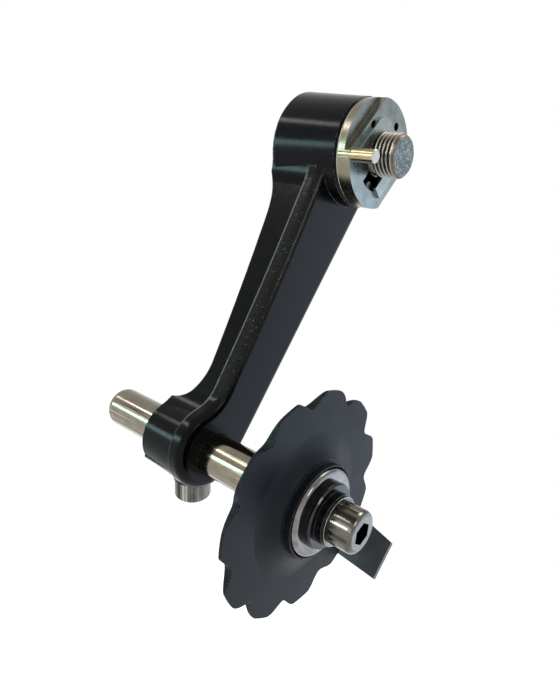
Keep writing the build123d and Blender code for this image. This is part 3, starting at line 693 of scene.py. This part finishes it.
def world_ramp(tree):
    """The world's tones from below to above."""
    place = tree.nodes.new("ShaderNodeTexCoord")
    split = tree.nodes.new("ShaderNodeSeparateXYZ")
    height = tree.nodes.new("ShaderNodeMapRange")
    height.inputs["From Min"].default_value = -1.0
    height.inputs["From Max"].default_value = 1.0
    ramp = tree.nodes.new("ShaderNodeValToRGB")
    stops = ramp.color_ramp.elements
    for position in list(WORLD_TONES)[1:-1]:
        stops.new(position)
    for stop, tone in zip(stops, WORLD_TONES.values()):
        stop.color = (*tone, 1.0)
    tree.links.new(place.outputs["Generated"], split.inputs[0])
    tree.links.new(split.outputs["Z"], height.inputs["Value"])
    tree.links.new(height.outputs[0], ramp.inputs[0])
    return ramp.outputs[0]


def studio_world():
    """A world that looks white and lights matt surfaces from above."""
    world = bpy.data.worlds.new("studio")
    bpy.context.scene.world = world
    world.use_nodes = True
    tree = world.node_tree
    mix = tree.nodes.new("ShaderNodeMix")
    mix.data_type = "RGBA"
    tree.links.new(seen_directly(tree), mix.inputs[0])
    tree.links.new(world_ramp(tree), mix.inputs[6])
    mix.inputs[7].default_value = WHITE
    back = tree.nodes["Background"]
    tree.links.new(mix.outputs[2], back.inputs["Color"])


def area_lamp(name, direction, distance, size, power, colour):
    """A soft lamp that shines at the middle of the object. Its size is a width and a height."""
    data = bpy.data.lights.new(name, "AREA")
    data.shape = "RECTANGLE"
    data.size, data.size_y = size
    data.energy = power
    data.color = colour
    lamp = bpy.data.objects.new(name, data)
    away = Vector(direction).normalized()
    lamp.location = LAMP_TARGET + away * distance
    lamp.rotation_euler = away.to_track_quat("Z", "Y").to_euler()
    bpy.context.scene.collection.objects.link(lamp)


def studio_lamps():
    """Two narrow windows on the left and three broad soft lamps."""
    area_lamp("left_window", (-0.78, 0.6, -0.22), 0.42, (0.24, 0.055), power=0.52, colour=TEAL)
    area_lamp("high_window", (-0.71, 0.6, 0.37), 0.5, (0.26, 0.05), power=0.5, colour=WARM)
    area_lamp("top_soft", (0.1, -0.2, 1.0), 0.6, (0.30, 0.30), power=1.0, colour=WARM_WHITE)
    area_lamp("front_soft", (-0.3, -1.0, 0.35), 0.7, (0.20, 0.20), power=0.8, colour=WARM_WHITE)
    area_lamp("side_soft", (0.8, -0.6, 0.12), 0.55, (0.42, 0.42), power=0.82, colour=SKY_BLUE)


def photo_camera():
    """The photograph's viewpoint."""
    data = bpy.data.cameras.new("photo_camera")
    data.sensor_fit = "VERTICAL"
    data.sensor_height = CAMERA_SENSOR
    data.lens = CAMERA_LENS
    data.clip_start = CAMERA_CLIP
    camera = bpy.data.objects.new("photo_camera", data)
    back = -CAMERA_VIEW.normalized()
    right = CAMERA_UP.cross(back).normalized()
    up = back.cross(right)
    turn = Matrix((right, up, back)).transposed()
    camera.matrix_world = Matrix.Translation(CAMERA_PLACE) @ turn.to_4x4()
    bpy.context.scene.collection.objects.link(camera)
    bpy.context.scene.camera = camera


# Hanger side
dress(["pivot_bolt"], threaded_bolt())
dress(["stop_plate"], zinc_plate())
dress(["stop_pin"], brass_pin())
dress(["retaining_clip"], plated("clip_zinc", (0.22, 0.25, 0.255), (0.32, 0.345, 0.34), 0.26))
dress(["torsion_spring"], plated("spring_steel", (0.24, 0.24, 0.25), (0.34, 0.34, 0.34), 0.3))
dress(
    ["bolt_head_washer"],
    plated("washer_steel", (0.24, 0.245, 0.24), (0.33, 0.335, 0.325), 0.22),
)

# Arm and the plastic pieces in its boss
dress(["arm"], gloss_black())
dress(["clamp_screw"], tilted_screw())
dress(
    ["pivot_bush", "spring_sleeve", "dust_washer"],
    plain_plastic("bush_plastic", (0.60, 0.58, 0.52), (0.66, 0.64, 0.57)),
)

# Shaft and guard
dress(["slide_shaft"], drawn_shaft())
dress(["pulley_bolt"], polished_screw())
dress(
    ["pulley_bolt_washer"],
    rubbed_and_glinting_chrome("washer_chrome", (0.05, 0.047, 0.042), (0.15, 0.138, 0.118)),
)
dress(["inboard_cover_washer", "outboard_cover_washer"], cover_chrome())
dress(
    ["pulley_spacer"],
    plated("spacer_chrome", (0.022, 0.022, 0.024), (0.04, 0.04, 0.043), 0.12),
)
dress(["guard_plate"], satin_guard())

# Pulley and its bearing
dress(["pulley_wheel"], satin_black_wheel())
dress(
    ["bearing_outer_race", "bearing_inner_race", "bearing_balls", "bearing_shields"],
    plated("bearing_steel", (0.55, 0.55, 0.55), (0.63, 0.63, 0.62), 0.22),
)
dress(["ball_cage"], plain_plastic("cage_plastic", (0.55, 0.50, 0.36), (0.60, 0.55, 0.40)))

cut_thread()
winding_spring()
pale_floor()
studio_world()
studio_lamps()
photo_camera()
bpy.context.scene.view_settings.view_transform = "Standard"
